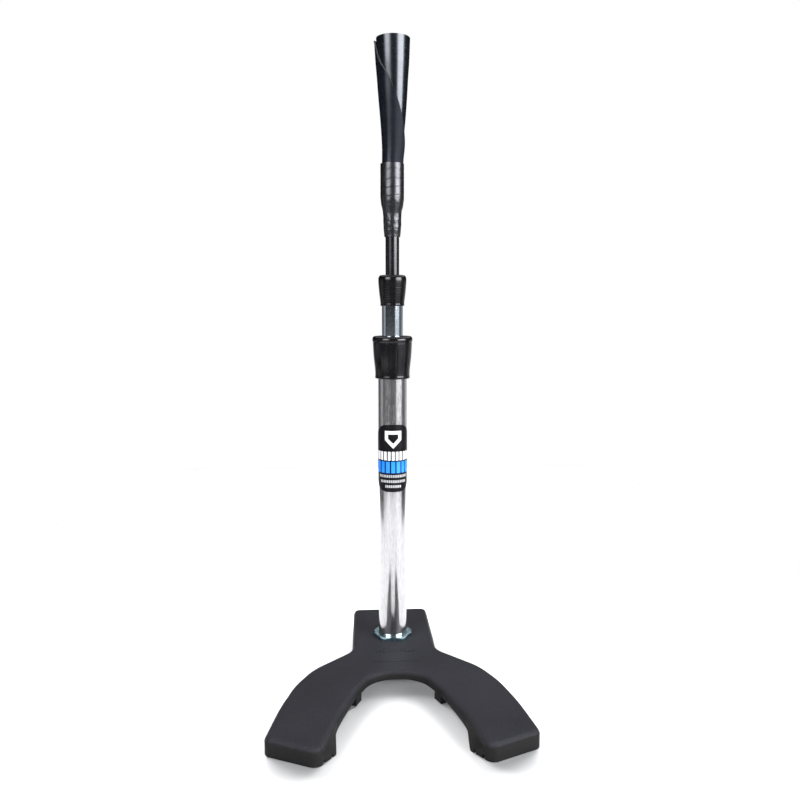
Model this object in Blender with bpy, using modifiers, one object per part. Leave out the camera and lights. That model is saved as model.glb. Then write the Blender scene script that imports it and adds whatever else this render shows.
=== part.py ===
"""Adjustable batting tee: claw base, three telescoping tubes and a rolled rubber ball rest.

Metres, +Z up, +Y away from the batter's side. The origin is on the ground under the middle of
the base; the post stands at x = 0, y = POST_Y. The two arms of the claw point to -Y.
"""
import math

import bmesh
import bpy
from mathutils import Matrix, Vector

MM = 0.001
GAP = 0.3 * MM
STEPS = 32
INNER_STEPS = 24
POST_Y = 86.65 * MM

# Base
BASE_TOP = 19.05 * MM
BASE_UNDER = 8.9 * MM
EDGE_RADIUS = 4.6 * MM
LEDGE_STEP = 0.5 * MM
SKIN = 3.0 * MM
COVER_THICK = 1.6 * MM
# Right half of the claw outline about the post axis: x, y and corner radius, in mm.
CLAW = [
    (48.7, 86.7, 8.0),
    (50.4, -44.1, 32.0),
    (96.7, -92.1, 80.0),
    (113.9, -129.2, 150.0),
    (126.1, -177.6, 400.0),
    (135.6, -237.4, 9.0),
    (79.9, -263.9, 9.0),
    (74.2, -241.0, 50.0),
    (65.8, -203.4, 110.0),
    (47.0, -146.2, 100.0),
    (26.8, -102.4, 38.0),
]
TAIL_FEET = [(27.0, 60.0), (-27.0, 60.0)]
TAIL_FOOT_RADIUS = 12.0 * MM
# Small feet under the throat: middle of the foot, its turn and its half length and half depth.
THROAT_FOOT = (48.6, -136.4)
THROAT_FOOT_TURN = 26.7
THROAT_FOOT_HALF = (6.0, 6.9)
FRONT_FOOT_Y = -228.0
# Each arm's underside curves down from BASE_UNDER at the first y to the ground at the second.
UNDER_CURVE_Y = (-165.0, -226.0)
# Right toe: the wall leans out to a wider tread on the ground. Ground line, then line under the ledge.
TOE_GROUND = [
    (67.0, -203.0), (66.6, -222.0), (65.4, -236.8), (66.0, -239.6), (67.6, -242.0),
    (79.5, -256.5), (88.0, -206.0), (90.0, -254.0),
]
TOE_LEDGE = [(66.8, -206.0), (74.7, -241.0), (79.1, -258.0), (88.0, -206.0), (90.0, -254.0)]
TREAD_CUTS = [(70.2, -242.8), (76.7, -252.8)]
TREAD_TURN = 38.3
COVER_SCREWS = [(34, 30), (-34, 30), (32, -72), (-32, -72), (96, -196), (-96, -196)]

# Post heights, all at the height setting with 36 mm and 45 mm of tube showing
HUB_RADIUS = 20.5 * MM
HUB_FLANGE_RADIUS = 29.0 * MM
NUT_CORNERS = 24.8 * MM
NUT_FLATS = 22.5 * MM
NUT_THICK = 4.0 * MM
LOWER_TUBE = (34.92 / 2 * MM, 31.7 / 2 * MM, 12.0 * MM, 389.0 * MM)
MIDDLE_TUBE = (25.4 / 2 * MM, 22.4 / 2 * MM, 136.0 * MM, 461.5 * MM)
UPPER_TUBE = (16.3 / 2 * MM, 13.1 / 2 * MM, 253.0 * MM, 604.0 * MM)
LOWER_COLLAR = (344.4 * MM, 395.4 * MM)
UPPER_COLLAR = (431.4 * MM, 468.3 * MM)
LABEL = (206.7 * MM, 289.3 * MM)
LABEL_HALF_ANGLE = 97.0
LABEL_CORNER = 24.0 * MM

# Ball rest: one rubber sheet rolled into a cone
SHEET = 1.9 * MM
PITCH = 2.2 * MM
REST_TOP = 739.0 * MM
FLAP_DROP = 4.2 * MM
# Height, inner radius, turns of sheet, bearing of the outer edge in degrees, sideways lean; mm.
REST = [
    (556.6, 8.5, 1.30, 112.0, 0.0),
    (598.0, 8.5, 1.30, 104.0, 0.0),
    (614.0, 9.0, 1.36, 90.0, 0.8),
    (631.0, 9.9, 1.40, 63.0, 1.2),
    (652.0, 11.5, 1.40, 36.0, 1.4),
    (674.0, 13.2, 1.34, 9.0, 1.2),
    (694.0, 14.5, 1.27, -19.0, 1.0),
    (713.0, 15.9, 1.20, -55.0, 0.8),
    (739.0, 17.1, 1.15, -78.0, 0.6),
]
TAPE_OUTER = [
    (597.7, 14.05), (562.0, 14.05), (556.0, 13.9), (548.5, 12.9), (541.5, 11.1),
    (536.0, 10.75), (526.0, 10.65), (519.0, 10.15), (513.1, 9.35),
]
TAPE_INNER = [(513.1, 8.5), (538.0, 8.5), (548.0, 11.6), (556.0, 13.45), (597.7, 13.45)]


def clear_scene():
    for obj in list(bpy.data.objects):
        bpy.data.objects.remove(obj, do_unlink=True)


def new_collection(name):
    group = bpy.data.collections.new(name)
    bpy.context.scene.collection.children.link(group)
    return group


def new_material(name, colour, roughness, metallic):
    material = bpy.data.materials.new(name)
    material.use_nodes = True
    shader = material.node_tree.nodes["Principled BSDF"]
    shader.inputs["Base Color"].default_value = (*colour, 1.0)
    shader.inputs["Roughness"].default_value = roughness
    shader.inputs["Metallic"].default_value = metallic
    return material


def mesh_object(name, points, faces, material, smooth=False, group=None):
    """Mesh object from points in metres about the post axis."""
    mesh = bpy.data.meshes.new(name)
    mesh.from_pydata([tuple(point) for point in points], [], faces)
    if faces:
        work = bmesh.new()
        work.from_mesh(mesh)
        bmesh.ops.recalc_face_normals(work, faces=work.faces)
        work.to_mesh(mesh)
        work.free()
    for polygon in mesh.polygons:
        polygon.use_smooth = smooth
    obj = bpy.data.objects.new(name, mesh)
    obj.location = (0.0, POST_Y, 0.0)
    if material:
        mesh.materials.append(material)
    (group or TEE).objects.link(obj)
    return obj


def as_cutter(obj):
    obj.hide_render = True
    obj.display_type = "WIRE"
    return obj


def boolean(obj, other, operation="DIFFERENCE"):
    step = obj.modifiers.new(operation.title(), "BOOLEAN")
    step.operation = operation
    step.solver = "EXACT"
    step.object = other


def turned(name, profile, material, steps=STEPS, group=None):
    """Round piece from a closed (radius, height) profile, listed down its outer side first."""
    mesh = bpy.data.meshes.new(name)
    count = len(profile)
    edges = [(i, (i + 1) % count) for i in range(count)]
    if profile[0][0] == 0.0:
        edges = edges[:-1]
    mesh.from_pydata([(radius, 0.0, height) for radius, height in profile], edges, [])
    obj = bpy.data.objects.new(name, mesh)
    obj.location = (0.0, POST_Y, 0.0)
    if material:
        mesh.materials.append(material)
    screw = obj.modifiers.new("Screw", "SCREW")
    screw.steps = steps
    screw.render_steps = steps
    screw.use_merge_vertices = True
    screw.merge_threshold = 0.00001
    screw.use_smooth_shade = True
    (group or TEE).objects.link(obj)
    return obj


def tube(name, size, material):
    """Straight tube (outer radius, inner radius, bottom, top)."""
    outer, inner, low, high = size
    turned(name, [(outer, high), (outer, low), (inner, low), (inner, high)], material)


def claw_corners(inset):
    """Whole claw outline as (x, y, radius) corners, moved in from the wall by inset mm."""
    half = [(x, y, r) for x, y, r in CLAW]
    corners = half + [(-x, y, r) for x, y, r in reversed(half)]
    count = len(corners)
    moved = []
    for i in range(count):
        here = Vector(corners[i][:2])
        back = (here - Vector(corners[i - 1][:2])).normalized()
        ahead = (Vector(corners[(i + 1) % count][:2]) - here).normalized()
        inward = Vector((back.y, -back.x))
        inward_next = Vector((ahead.y, -ahead.x))
        bisector = (inward + inward_next).normalized()
        turn = back.x * ahead.y - back.y * ahead.x
        radius = corners[i][2] + (inset if turn > 0 else -inset)
        point = here + bisector * (inset / bisector.dot(inward))
        moved.append((point.x, point.y, max(radius, 2.0)))
    return moved


def rounded_outline(corners):
    """Points in metres along a closed outline whose corners are arcs, in whole steps of arc."""
    points = []
    count = len(corners)
    for i in range(count):
        here = Vector(corners[i][:2])
        back = (Vector(corners[i - 1][:2]) - here).normalized()
        ahead = (Vector(corners[(i + 1) % count][:2]) - here).normalized()
        half = math.acos(max(-1.0, min(1.0, back.dot(ahead)))) / 2
        radius = corners[i][2]
        reach = radius / math.tan(half)
        centre = here + (back + ahead).normalized() * (radius / math.sin(half))
        start = here + back * reach - centre
        end = here + ahead * reach - centre
        sweep = math.pi - 2 * half
        side = 1.0 if start.x * end.y > start.y * end.x else -1.0
        parts = 2 + int((math.degrees(sweep) + 5) // 12)
        for k in range(parts + 1):
            spoke = Matrix.Rotation(side * sweep * k / parts, 2) @ start
            points.append((centre + spoke) * MM)
    return points


def claw_solid(name, levels, material=None, group=None):
    """Closed loft of the claw outline through (height, inset in mm) levels, bottom first."""
    points = []
    faces = []
    for height, inset in levels:
        ring = rounded_outline(claw_corners(inset))
        size = len(ring)
        points += [(p.x, p.y, height) for p in ring]
    for level in range(len(levels) - 1):
        for i in range(size):
            j = (i + 1) % size
            a = level * size
            faces.append((a + i, a + j, a + size + j, a + size + i))
    faces.append(tuple(range(size)))
    faces.append(tuple(range((len(levels) - 1) * size, len(levels) * size)))
    return mesh_object(name, points, faces, material, group=group)


def block(name, low, high, group):
    """Box between two corners in metres about the post axis."""
    points = [(x, y, z) for z in (low[2], high[2]) for y in (low[1], high[1]) for x in (low[0], high[0])]
    faces = [(0, 1, 3, 2), (4, 5, 7, 6), (0, 1, 5, 4), (2, 3, 7, 6), (0, 2, 6, 4), (1, 3, 7, 5)]
    return mesh_object(name, points, faces, None, group=group)


def post_at(name, x, y, radius, low, high, group, steps=24):
    """Plain round cutter standing at (x, y) mm from the post axis."""
    obj = turned(name, [(0.0, high), (radius, high), (radius, low), (0.0, low)], None, steps, group)
    obj.location = (x * MM, POST_Y + y * MM, 0.0)
    return as_cutter(obj)


def keep_clear_of_feet(obj, margin, low, high):
    """Cut the foot areas, grown by margin, out of a plate or a cutter."""
    for k, (x, y) in enumerate(TAIL_FEET):
        boolean(obj, post_at(f"{obj.name}_foot_{k}", x, y, TAIL_FOOT_RADIUS + margin, low, high, CUTTERS))
    for side in (-1, 1):
        long = THROAT_FOOT_HALF[1] * MM + margin
        deep = THROAT_FOOT_HALF[0] * MM + margin
        foot = block(f"{obj.name}_throat_{side}", (-deep - 2 * MM, -long, low), (deep, long, high), CUTTERS)
        foot.location = (side * THROAT_FOOT[0] * MM, POST_Y + THROAT_FOOT[1] * MM, 0.0)
        foot.scale = (side, 1.0, 1.0)
        foot.rotation_euler = (0.0, 0.0, math.radians(side * THROAT_FOOT_TURN))
        boolean(obj, as_cutter(foot))
    front = block(
        f"{obj.name}_front",
        (-0.2, -0.3, low),
        (0.2, FRONT_FOOT_Y * MM + margin, high),
        CUTTERS,
    )
    boolean(obj, as_cutter(front))


def hull(name, points, group):
    """Convex solid round a set of points in metres about the post axis."""
    obj = mesh_object(name, points, [], None, group=group)
    work = bmesh.new()
    work.from_mesh(obj.data)
    made = bmesh.ops.convex_hull(work, input=work.verts)
    spare = [item for item in made["geom_interior"] if isinstance(item, bmesh.types.BMVert)]
    bmesh.ops.delete(work, geom=spare, context="VERTS")
    bmesh.ops.recalc_face_normals(work, faces=work.faces)
    work.to_mesh(obj.data)
    work.free()
    return obj


def underside_cutter():
    """Space under the base: flat above BASE_UNDER, curving down to the ground at the toes."""
    start, stop = UNDER_CURVE_Y
    line = [(120.0, -2.0), (120.0, BASE_UNDER / MM)]
    for k in range(9):
        share = 1.0 - k / 8
        line.append((stop + (start - stop) * share, BASE_UNDER / MM * (1 - (1 - share) ** 2)))
    line.append((stop - 1.0, -2.0))
    count = len(line)
    points = [(x, y * MM, z * MM) for x in (-0.2, 0.2) for y, z in line]
    faces = [(i, (i + 1) % count, (i + 1) % count + count, i + count) for i in range(count)]
    faces += [tuple(range(count)), tuple(range(count, 2 * count))]
    return mesh_object("underside_cut", points, faces, None, group=CUTTERS)


def build_base():
    """Moulded jacket, steel weight plate, bottom cover, hub and lock nut."""
    wall_top = BASE_TOP - EDGE_RADIUS
    levels = [(0.0, -LEDGE_STEP / MM), (wall_top - 0.25 * MM, -LEDGE_STEP / MM), (wall_top, 0.0)]
    for degrees in (25, 55, 90):
        angle = math.radians(degrees)
        inset = EDGE_RADIUS * (1 - math.cos(angle)) / MM
        levels.append((wall_top + EDGE_RADIUS * math.sin(angle), inset))
    jacket = claw_solid("base_jacket", levels, MOULDED)
    for side in (-1, 1):
        toe = [(side * x * MM, y * MM, 0.0) for x, y in TOE_GROUND]
        toe += [(side * x * MM, y * MM, wall_top - 0.6 * MM) for x, y in TOE_LEDGE]
        boolean(jacket, as_cutter(hull(f"toe_{side}", toe, CUTTERS)), "UNION")
    under = underside_cutter()
    keep_clear_of_feet(under, 0.0, -0.005, BASE_UNDER + 0.005)
    boolean(jacket, as_cutter(under))
    floor = BASE_TOP - SKIN
    cavity = claw_solid("cavity_cut", [(-0.003, 5.0), (floor, 5.0)], group=CUTTERS)
    keep_clear_of_feet(cavity, 2.0 * MM, -0.008, floor + 0.005)
    boolean(jacket, as_cutter(cavity))
    boolean(jacket, post_at("hub_cut", 0, 0, HUB_RADIUS + GAP, 0.0, 0.03, CUTTERS, STEPS))
    for side in (-1, 1):
        for k, (x, y) in enumerate(TREAD_CUTS):
            low = (-0.004, -1.1 * MM, -0.003)
            slot = block(f"tread_cut_{side}_{k}", low, (0.012, 1.1 * MM, 0.004), CUTTERS)
            slot.location = (side * x * MM, POST_Y + y * MM, 0.0)
            slot.scale = (side, 1.0, 1.0)
            slot.rotation_euler = (0.0, 0.0, math.radians(side * TREAD_TURN))
            boolean(jacket, as_cutter(slot))

    plate_low = BASE_UNDER + COVER_THICK + GAP
    plate_high = floor - GAP
    plate = claw_solid("weight_plate", [(plate_low, 5.3), (plate_high, 5.3)], STEEL)
    keep_clear_of_feet(plate, 2.3 * MM, -0.008, 0.03)
    boolean(plate, post_at("plate_bore", 0, 0, HUB_RADIUS + GAP, 0.0, 0.03, CUTTERS, STEPS))
    flange_top = plate_low + 2.0 * MM
    seat = post_at("plate_seat", 0, 0, HUB_FLANGE_RADIUS + GAP, 0.0, flange_top + GAP, CUTTERS, STEPS)
    boolean(plate, seat)

    cover = claw_solid(
        "bottom_cover",
        [(BASE_UNDER, 5.3), (BASE_UNDER + COVER_THICK, 5.3)],
        COVER,
    )
    keep_clear_of_feet(cover, 2.3 * MM, -0.008, 0.03)
    for k, (x, y) in enumerate(COVER_SCREWS):
        hole = post_at(f"screw_hole_{k}", x, y, 2.5 * MM, 0.0, plate_high - 1.0 * MM, CUTTERS)
        boolean(cover, hole)
        boolean(plate, hole)
        head_low = BASE_UNDER - GAP - 1.9 * MM
        head_high = BASE_UNDER - GAP
        screw = turned(
            f"cover_screw_{k + 1}",
            [
                (0.0, plate_high - 1.6 * MM),
                (1.6 * MM, plate_high - 1.6 * MM),
                (2.1 * MM, plate_high - 2.4 * MM),
                (2.1 * MM, head_high),
                (4.2 * MM, head_high),
                (4.2 * MM, head_low + 0.6 * MM),
                (3.4 * MM, head_low),
                (0.0, head_low),
            ],
            ZINC,
            12,
        )
        screw.location = (x * MM, POST_Y + y * MM, 0.0)

    turned(
        "base_hub",
        [
            (HUB_RADIUS - 0.5 * MM, BASE_TOP - 0.2 * MM),
            (HUB_RADIUS, BASE_TOP - 0.7 * MM),
            (HUB_RADIUS, flange_top),
            (HUB_FLANGE_RADIUS, flange_top),
            (HUB_FLANGE_RADIUS, plate_low),
            (LOWER_TUBE[0] + GAP, plate_low),
            (LOWER_TUBE[0] + GAP, BASE_TOP - 0.2 * MM),
        ],
        STEEL,
    )
    nut_low = BASE_TOP + GAP
    nut_high = nut_low + NUT_THICK
    sharp = NUT_FLATS / math.cos(math.radians(30))
    ring = [(sharp * math.cos(math.radians(a)), sharp * math.sin(math.radians(a))) for a in range(0, 360, 60)]
    hexagon = [(x, y, nut_low) for x, y in ring] + [(x, y, nut_high) for x, y in ring]
    sides = [(i, (i + 1) % 6, (i + 1) % 6 + 6, i + 6) for i in range(6)]
    nut = mesh_object("lock_nut", hexagon, [*sides, tuple(range(6)), tuple(range(6, 12))], ZINC)
    chamfer = turned(
        "nut_chamfer",
        [
            (0.0, nut_high + 1.0 * MM),
            (NUT_FLATS + 0.2 * MM, nut_high + 1.0 * MM),
            (NUT_FLATS + 1.0 * MM, nut_high),
            (NUT_CORNERS, nut_high - 1.3 * MM),
            (NUT_CORNERS, nut_low - 1.0 * MM),
            (0.0, nut_low - 1.0 * MM),
        ],
        None,
        STEPS,
        CUTTERS,
    )
    boolean(nut, as_cutter(chamfer), "INTERSECT")
    boolean(nut, post_at("nut_bore", 0, 0, LOWER_TUBE[0] + GAP, 0.0, 0.04, CUTTERS, STEPS))


def build_label():
    """Thin wrap-round label with rounded corners on the front of the lower tube."""
    inner = LOWER_TUBE[0] + 0.15 * MM
    outer = inner + 0.2 * MM
    corner = LABEL_CORNER
    low, high = LABEL
    edge = math.radians(LABEL_HALF_ANGLE)
    left = [-edge]
    for k in range(1, 13):
        left.append(-edge + corner * (1 - math.cos(math.radians(k * 7.5))) / outer)
    angles = left + [math.radians(a) for a in range(-14, 15, 7)] + [-a for a in reversed(left)]
    points = []
    for angle in angles:
        into = max(0.0, corner - (edge - abs(angle)) * outer)
        cut = corner - math.sqrt(max(0.0, corner * corner - into * into))
        for radius in (inner, outer):
            x, y = radius * math.sin(angle), -radius * math.cos(angle)
            points += [(x, y, low + cut), (x, y, high - cut)]
    faces = []
    for i in range(len(angles) - 1):
        a = 4 * i
        b = a + 4
        faces += [(a + 2, b + 2, b + 3, a + 3), (a, a + 1, b + 1, b)]
        faces += [(a + 1, a + 3, b + 3, b + 1), (a, b, b + 2, a + 2)]
    last = 4 * (len(angles) - 1)
    faces += [(0, 2, 3, 1), (last, last + 1, last + 3, last + 2)]
    mesh_object("label", points, faces, LABEL_FILM)


def build_slider(name, wall_radius, rod, ring, screw):
    """Friction plug at the foot of a sliding tube: plug, two O-rings, tube insert, swivel screw.

    wall_radius is the bore it slides in, rod the tube above it, ring the O-ring section radius
    and screw the shank radius.
    """
    plug_radius = wall_radius - GAP
    plug_high = rod[2] - GAP
    plug_low = plug_high - 17.0 * MM
    groove = ring * 2 + 0.6 * MM
    root = wall_radius - 0.2 * MM - 2 * ring - 0.15 * MM
    profile = [(plug_radius - 0.6 * MM, plug_high), (plug_radius, plug_high - 0.6 * MM)]
    centres = (plug_high - 5.0 * MM, plug_low + 5.0 * MM)
    for centre in centres:
        profile += [
            (plug_radius, centre + groove / 2),
            (root, centre + groove / 2),
            (root, centre - groove / 2),
            (plug_radius, centre - groove / 2),
        ]
    profile += [
        (plug_radius, plug_low + 0.6 * MM),
        (plug_radius - 0.6 * MM, plug_low),
        (screw + GAP, plug_low),
        (screw + GAP, plug_high),
    ]
    turned(f"{name}_plug", profile, NYLON, INNER_STEPS)
    for k, centre in enumerate(centres):
        middle = wall_radius - 0.2 * MM - ring
        section = []
        for i in range(6):
            angle = math.radians(90 - i * 60)
            section.append((middle + ring * math.cos(angle), centre + ring * math.sin(angle)))
        turned(f"{name}_o_ring_{k + 1}", section, RUBBER, INNER_STEPS)
    insert_radius = rod[1] - GAP
    insert_high = rod[2] + 14.0 * MM
    turned(
        f"{name}_tube_insert",
        [
            (insert_radius - 0.5 * MM, insert_high),
            (insert_radius, insert_high - 0.5 * MM),
            (insert_radius, rod[2]),
            (screw + GAP, rod[2]),
            (screw + GAP, insert_high),
        ],
        ZINC,
        INNER_STEPS,
    )
    head_high = plug_low - GAP
    turned(
        f"{name}_swivel_screw",
        [
            (0.0, insert_high - 1.0 * MM),
            (screw - 0.5 * MM, insert_high - 1.0 * MM),
            (screw, insert_high - 1.5 * MM),
            (screw, head_high),
            (screw + 3.5 * MM, head_high),
            (screw + 3.5 * MM, head_high - 2.0 * MM),
            (screw + 2.3 * MM, head_high - 3.2 * MM),
            (0.0, head_high - 3.2 * MM),
        ],
        ZINC,
        24,
    )


def build_bush(name, bore, rod_radius, low, tube_top, flange_radius):
    """Flanged nylon guide bush pressed into the mouth of a tube."""
    flange = tube_top + GAP
    turned(
        name,
        [
            (flange_radius, flange + 2.0 * MM),
            (flange_radius, flange),
            (bore - GAP, flange),
            (bore - GAP, low),
            (rod_radius + GAP, low),
            (rod_radius + GAP, flange + 2.0 * MM),
        ],
        NYLON,
        INNER_STEPS,
    )


def build_collars():
    """Rubber caps that close the mouths of the lower and the middle tube."""
    low, high = LOWER_COLLAR
    bore = LOWER_TUBE[0] + GAP
    web = LOWER_TUBE[3] + 2.0 * MM + 2 * GAP
    turned(
        "lower_collar",
        [
            (20.6 * MM, high),
            (22.4 * MM, high - 0.35 * MM),
            (23.6 * MM, high - 1.3 * MM),
            (24.25 * MM, high - 3.0 * MM),
            (24.35 * MM, high - 6.3 * MM),
            (23.5 * MM, high - 7.8 * MM),
            (22.5 * MM, high - 24.0 * MM),
            (21.3 * MM, low + 13.0 * MM),
            (20.9 * MM, low + 3.2 * MM),
            (21.3 * MM, low + 2.5 * MM),
            (21.3 * MM, low + 0.6 * MM),
            (20.8 * MM, low),
            (bore, low),
            (bore, web),
            (MIDDLE_TUBE[0] + 0.5 * MM, web),
            (MIDDLE_TUBE[0] + 0.5 * MM, high),
        ],
        RUBBER,
    )
    low, high = UPPER_COLLAR
    bore = MIDDLE_TUBE[0] + GAP
    web = MIDDLE_TUBE[3] + 2.0 * MM + 2 * GAP
    turned(
        "upper_collar",
        [
            (12.6 * MM, high),
            (14.6 * MM, high - 0.4 * MM),
            (15.9 * MM, high - 1.5 * MM),
            (16.7 * MM, high - 3.6 * MM),
            (16.85 * MM, high - 7.0 * MM),
            (16.7 * MM, high - 12.0 * MM),
            (15.7 * MM, high - 24.0 * MM),
            (14.45 * MM, low + 2.6 * MM),
            (14.45 * MM, low + 0.5 * MM),
            (14.0 * MM, low),
            (bore, low),
            (bore, web),
            (UPPER_TUBE[0] + 0.5 * MM, web),
            (UPPER_TUBE[0] + 0.5 * MM, high),
        ],
        RUBBER,
    )


def blend(table, height, column):
    """Value of a REST column at a height in mm, straight lines between the rows."""
    for lower, upper in zip(table, table[1:]):
        if height <= upper[0]:
            share = max(0.0, (height - lower[0]) / (upper[0] - lower[0]))
            return lower[column] + share * (upper[column] - lower[column])
    return table[-1][column]


def build_ball_rest():
    """Rubber sheet rolled into a cone, its outer edge running round the cone as it goes down."""
    columns = 38
    levels = [0.0, 0.22, 0.33, 0.43, 0.54, 0.65, 0.76, 0.86, 1.0]
    bottom = REST[0][0]
    points = []
    for along in range(columns + 1):
        share = along / columns
        for level in levels:
            height = bottom + level * (REST_TOP / MM - bottom)
            turns = blend(REST, height, 2)
            round_from_edge = (1 - share) * turns
            bearing = math.radians(blend(REST, height, 3) - 360 * round_from_edge)
            drop = max(0.0, 1 - round_from_edge / 0.3) ** 2 * FLAP_DROP * max(0.0, level - 0.86) / 0.14
            inner = blend(REST, height, 1) * MM + PITCH * share * turns
            lean = blend(REST, height, 4) * MM
            for radius in (inner, inner + SHEET):
                x = radius * math.sin(bearing) + lean
                points.append((x, -radius * math.cos(bearing), height * MM - drop))
    rows = len(levels)

    def at(along, level, side):
        return (along * rows + level) * 2 + side

    faces = []
    for i in range(columns):
        for k in range(rows - 1):
            for side in (0, 1):
                faces.append((at(i, k, side), at(i + 1, k, side), at(i + 1, k + 1, side), at(i, k + 1, side)))
        for k in (0, rows - 1):
            faces.append((at(i, k, 0), at(i + 1, k, 0), at(i + 1, k, 1), at(i, k, 1)))
    for i in (0, columns):
        for k in range(rows - 1):
            faces.append((at(i, k, 0), at(i, k + 1, 0), at(i, k + 1, 1), at(i, k, 1)))
    mesh_object("ball_rest", points, faces, SHEET_RUBBER, smooth=True)


def build_tape():
    """Tape wound over the foot of the roll and down on to the upper tube."""
    profile = [(r * MM, z * MM) for z, r in TAPE_OUTER] + [(r * MM, z * MM) for z, r in TAPE_INNER]
    turned("tape_wrap", profile, TAPE)


def build_post():
    tube("lower_tube", LOWER_TUBE, ALUMINIUM)
    build_label()
    plug_reach = 194.0 * MM
    build_bush(
        "lower_guide_bush",
        LOWER_TUBE[1],
        MIDDLE_TUBE[0],
        MIDDLE_TUBE[2] + plug_reach,
        LOWER_TUBE[3],
        16.9 * MM,
    )
    tube("middle_tube", MIDDLE_TUBE, CHROME)
    build_slider("middle", LOWER_TUBE[1], MIDDLE_TUBE, 1.25 * MM, 3.0 * MM)
    build_bush(
        "upper_guide_bush",
        MIDDLE_TUBE[1],
        UPPER_TUBE[0],
        UPPER_TUBE[2] + 157.0 * MM,
        MIDDLE_TUBE[3],
        12.2 * MM,
    )
    tube("upper_tube", UPPER_TUBE, BLACK_STEEL)
    build_slider("upper", MIDDLE_TUBE[1], UPPER_TUBE, 0.95 * MM, 2.0 * MM)
    cap = UPPER_TUBE[3] + GAP
    turned(
        "upper_tube_cap",
        [
            (0.0, cap + 1.6 * MM),
            (7.2 * MM, cap + 1.6 * MM),
            (8.0 * MM, cap + 0.8 * MM),
            (8.0 * MM, cap),
            (UPPER_TUBE[1] - GAP, cap),
            (UPPER_TUBE[1] - GAP, cap - 9.0 * MM),
            (UPPER_TUBE[1] - 0.9 * MM, cap - 10.0 * MM),
            (0.0, cap - 10.0 * MM),
        ],
        RUBBER,
        INNER_STEPS,
    )
    build_collars()
    build_ball_rest()
    build_tape()


clear_scene()
TEE = new_collection("batting_tee")
CUTTERS = new_collection("cutters")
CUTTERS.hide_render = True
MOULDED = new_material("moulded_black", (0.035, 0.035, 0.042), 0.42, 0.0)
STEEL = new_material("plain_steel", (0.36, 0.36, 0.37), 0.45, 1.0)
COVER = new_material("cover_black", (0.03, 0.03, 0.03), 0.6, 0.0)
ZINC = new_material("zinc_plate", (0.72, 0.80, 0.82), 0.25, 1.0)
ALUMINIUM = new_material("clear_aluminium", (0.80, 0.80, 0.83), 0.25, 1.0)
CHROME = new_material("bright_steel", (0.75, 0.78, 0.80), 0.18, 1.0)
BLACK_STEEL = new_material("black_tube", (0.02, 0.02, 0.022), 0.35, 0.6)
RUBBER = new_material("collar_rubber", (0.022, 0.022, 0.024), 0.45, 0.0)
SHEET_RUBBER = new_material("sheet_rubber", (0.05, 0.052, 0.06), 0.4, 0.0)
TAPE = new_material("vinyl_tape", (0.03, 0.03, 0.03), 0.32, 0.0)
NYLON = new_material("white_nylon", (0.78, 0.77, 0.72), 0.5, 0.0)
LABEL_FILM = new_material("label_film", (0.015, 0.015, 0.02), 0.3, 0.0)
build_base()
build_post()
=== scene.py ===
import math

import bmesh
import bpy
from mathutils import Matrix, Vector, noise


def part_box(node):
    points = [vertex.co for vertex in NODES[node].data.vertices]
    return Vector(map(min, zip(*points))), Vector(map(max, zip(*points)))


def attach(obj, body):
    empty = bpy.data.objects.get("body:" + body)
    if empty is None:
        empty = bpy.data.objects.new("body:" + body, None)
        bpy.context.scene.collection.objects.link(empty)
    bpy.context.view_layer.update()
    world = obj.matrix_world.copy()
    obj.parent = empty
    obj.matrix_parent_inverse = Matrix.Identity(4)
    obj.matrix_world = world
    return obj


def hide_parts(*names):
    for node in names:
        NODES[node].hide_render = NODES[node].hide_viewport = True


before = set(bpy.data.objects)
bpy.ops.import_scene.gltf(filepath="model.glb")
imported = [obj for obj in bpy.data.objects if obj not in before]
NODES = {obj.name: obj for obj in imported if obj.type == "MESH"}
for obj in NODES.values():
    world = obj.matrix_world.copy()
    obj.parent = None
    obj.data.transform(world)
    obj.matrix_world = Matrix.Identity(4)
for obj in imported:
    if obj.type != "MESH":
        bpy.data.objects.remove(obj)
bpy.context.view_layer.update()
SCENE = bpy.context.scene
MM = 0.001
POST_LOW, POST_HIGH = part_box("lower_tube")
POST_Y = ((POST_LOW + POST_HIGH) / 2).y
POST_RADIUS = 17.46 * MM


# ---------------------------------------------------------------- materials

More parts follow.
